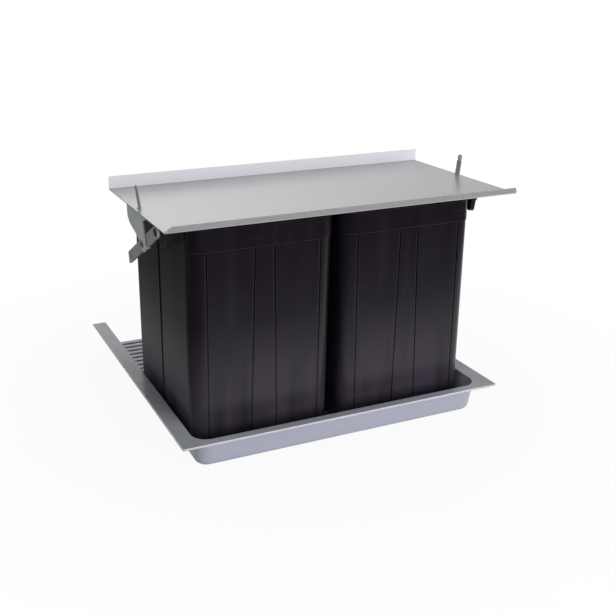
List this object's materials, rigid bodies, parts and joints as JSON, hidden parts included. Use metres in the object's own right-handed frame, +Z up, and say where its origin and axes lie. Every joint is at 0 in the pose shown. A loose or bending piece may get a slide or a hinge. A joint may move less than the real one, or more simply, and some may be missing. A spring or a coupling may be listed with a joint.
{
  "type": "pull out bin frame",
  "caption": "Drawer waste sorting frame: tall tapered bins in a shallow tray under a folded metal cover shelf that swing arms on side brackets lift.",
  "frame": {"origin": "under the middle of the tray, on the face that the tray stands on", "axes": "+X to the right seen from the front, +Y to the back of the cabinet, +Z up; the tray pulls out along -Y"},
  "size_m": [0.562, 0.52, 0.3933],
  "materials": {
    "cover_paint": "satin silver grey powder coat",
    "bracket_paint": "satin grey-green paint",
    "arm_paint": "satin grey paint",
    "pad_plastic": "matte black moulding",
    "pin_steel": "zinc plated",
    "washer_nylon": "natural nylon",
    "clip_steel": "dark spring steel",
    "tray_plastic": "satin grey moulding",
    "bin_plastic": "matte black moulding"
  },
  "bodies": {
    "side_brackets": {"bracket_left": "bracket_paint", "bracket_right": "bracket_paint", "pivot_pin_left": "pin_steel", "pivot_pin_right": "pin_steel", "thrust_washer_left": "washer_nylon", "thrust_washer_right": "washer_nylon", "pin_clip_left": "clip_steel", "pin_clip_right": "clip_steel"},
    "cover": {"cover_shelf": "cover_paint"},
    "arm_left": {"lift_arm_left": "arm_paint", "nose_pad_left": "pad_plastic"},
    "arm_right": {"lift_arm_right": "arm_paint", "nose_pad_right": "pad_plastic"},
    "tray": {"tray": "tray_plastic", "bin_left": "bin_plastic", "bin_right": "bin_plastic"}
  },
  "joints": [
    {"name": "tray_pull_out", "type": "slide", "parent": "side_brackets", "child": "tray", "axis": [0, -1, 0], "range_m": [0, 0.45]},
    {"name": "cover_lift", "type": "slide", "parent": "side_brackets", "child": "cover", "axis": [0, 0, 1], "range_m": [0, 0.015]},
    {"name": "arm_left_swing", "type": "hinge", "parent": "side_brackets", "child": "arm_left", "pos_m": [-0.26434, -0.097, 0.29982], "axis": [-0.9903, 0, -0.1392], "range_deg": [0, 12.6]},
    {"name": "arm_right_swing", "type": "hinge", "parent": "side_brackets", "child": "arm_right", "pos_m": [0.26434, -0.097, 0.29982], "axis": [-0.9903, 0, 0.1392], "range_deg": [0, 12.6]}
  ],
  "couplings": [
    {"joint": "arm_left_swing", "follows": "cover_lift", "rad_per_m": 14.55},
    {"joint": "arm_right_swing", "follows": "cover_lift", "rad_per_m": 14.55}
  ]
}
